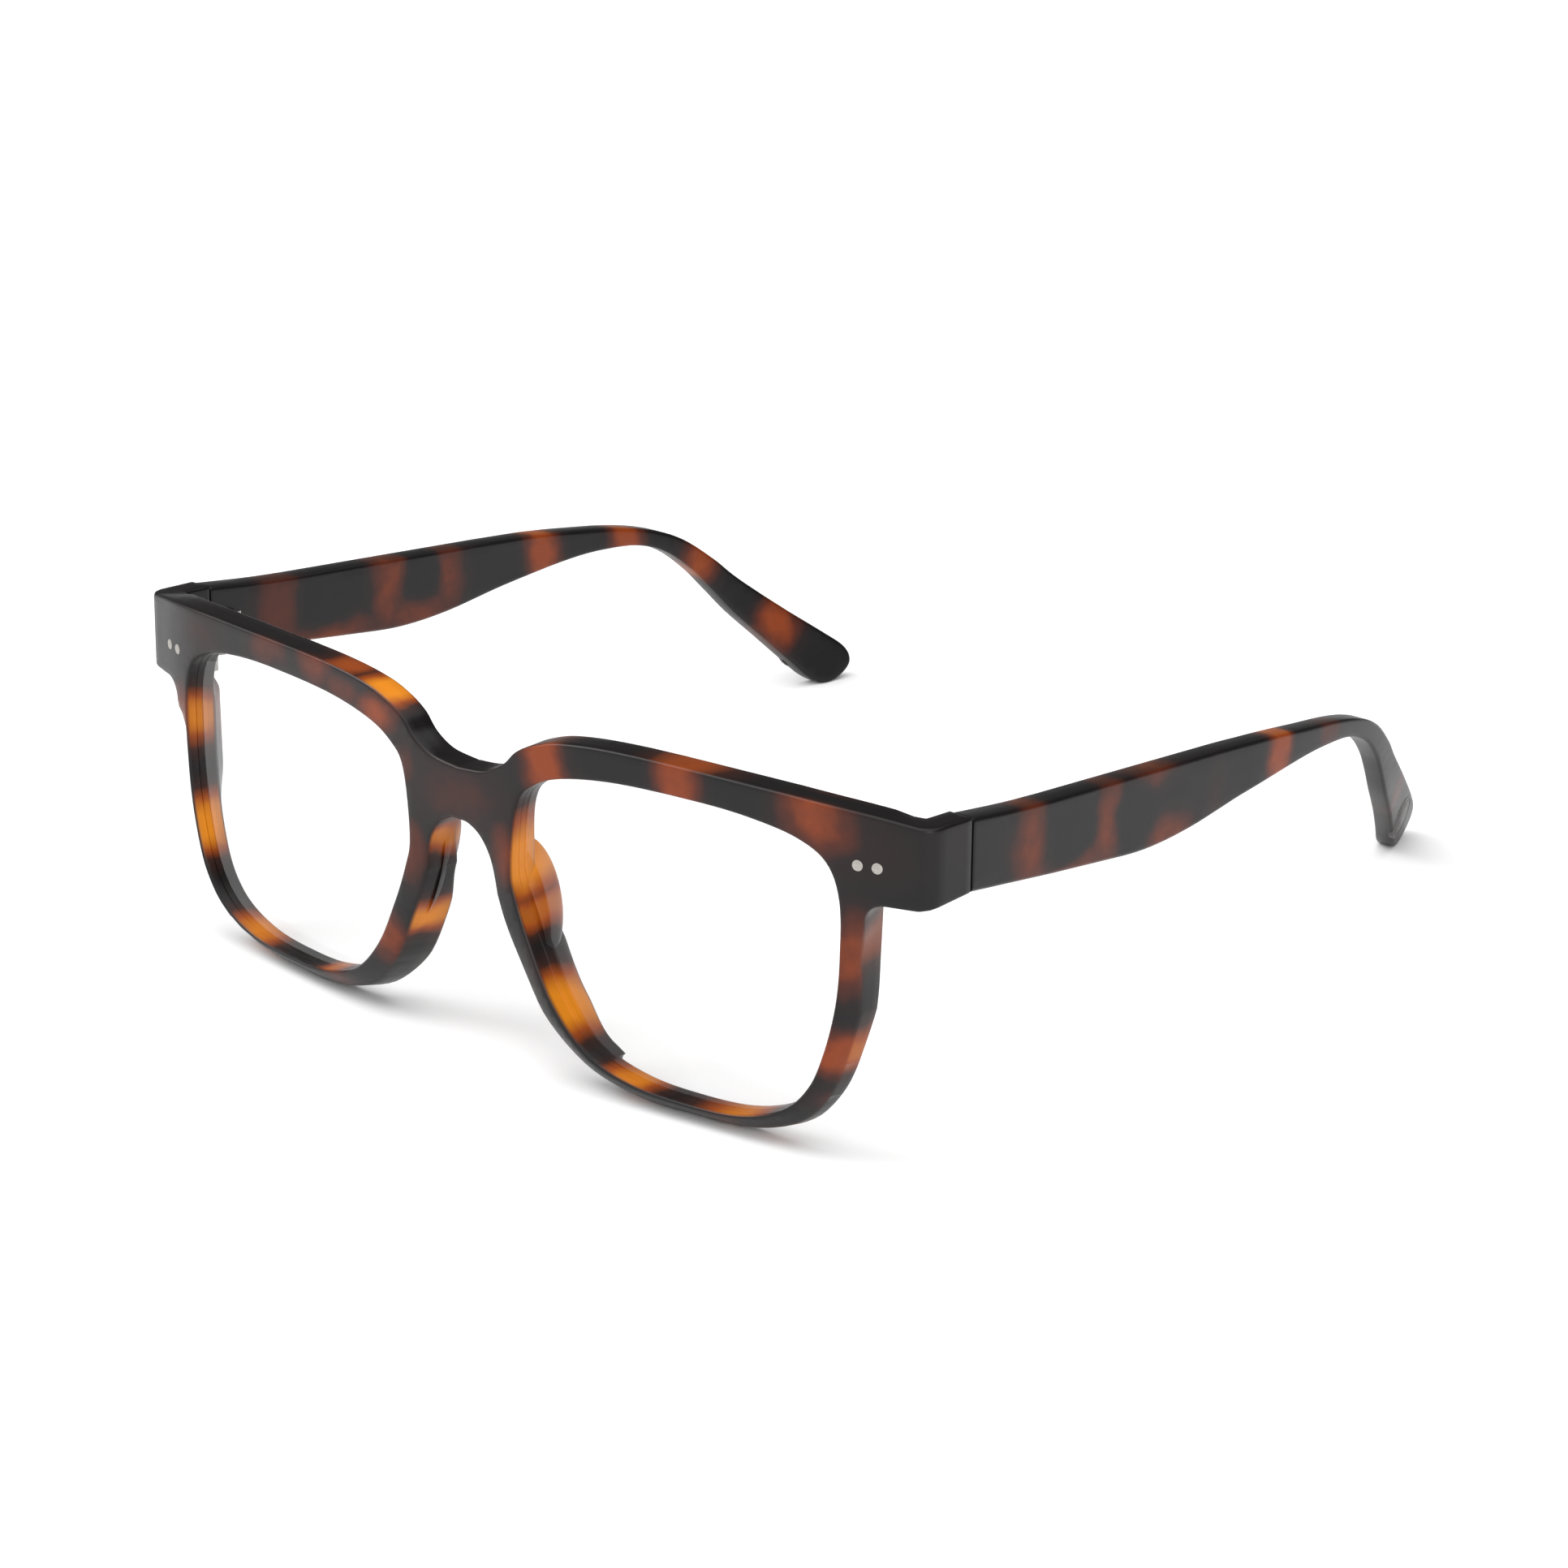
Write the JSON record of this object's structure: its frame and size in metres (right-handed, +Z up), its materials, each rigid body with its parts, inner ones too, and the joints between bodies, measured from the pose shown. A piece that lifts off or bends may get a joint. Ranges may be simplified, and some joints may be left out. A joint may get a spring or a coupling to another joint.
{
  "type": "eyeglasses frame",
  "caption": "Full-rim acetate eyeglasses frame with clear lenses, bonded nose pads and temples that fold on barrel hinges.",
  "frame": {"origin": "centre of the bounding box's footprint, on the plane that the rims and temple tips rest on", "axes": "+X to the wearer's left, -Y out through the lenses, +Y along the temples, +Z up"},
  "size_m": [0.144, 0.1394, 0.0483],
  "materials": {
    "tortoise_acetate": "satin tortoise acetate, charcoal with red-brown and amber patches",
    "amber_acetate": "satin translucent amber acetate",
    "lens_clear": "clear polished demonstration lens",
    "hinge_steel": "plain nickel-silver hinge and core wire",
    "rivet_silver": "flat satin silver rivet"
  },
  "bodies": {
    "front": {"front_frame": "tortoise_acetate", "lens_left": "lens_clear", "lens_right": "lens_clear", "nose_pad_left": "amber_acetate", "nose_pad_right": "amber_acetate", "hinge_front_leaf_left": "hinge_steel", "hinge_front_leaf_right": "hinge_steel", "hinge_screw_left": "hinge_steel", "hinge_screw_right": "hinge_steel", "rivet_inner_left": "rivet_silver", "rivet_inner_right": "rivet_silver", "rivet_outer_left": "rivet_silver", "rivet_outer_right": "rivet_silver"},
    "temple_left_body": {"temple_left": "tortoise_acetate", "core_wire_left": "hinge_steel", "tip_disc_left": "amber_acetate", "hinge_temple_leaf_left": "hinge_steel"},
    "temple_right_body": {"temple_right": "tortoise_acetate", "core_wire_right": "hinge_steel", "tip_disc_right": "amber_acetate", "hinge_temple_leaf_right": "hinge_steel"}
  },
  "joints": [
    {"name": "temple_left_fold", "type": "hinge", "parent": "front", "child": "temple_left_body", "pos_m": [0.06653, -0.05063, 0.03882], "axis": [0, 0.0578, 0.9983], "range_deg": [0, 86]},
    {"name": "temple_right_fold", "type": "hinge", "parent": "front", "child": "temple_right_body", "pos_m": [-0.06653, -0.05063, 0.03882], "axis": [0, -0.0578, -0.9983], "range_deg": [0, 78]}
  ]
}
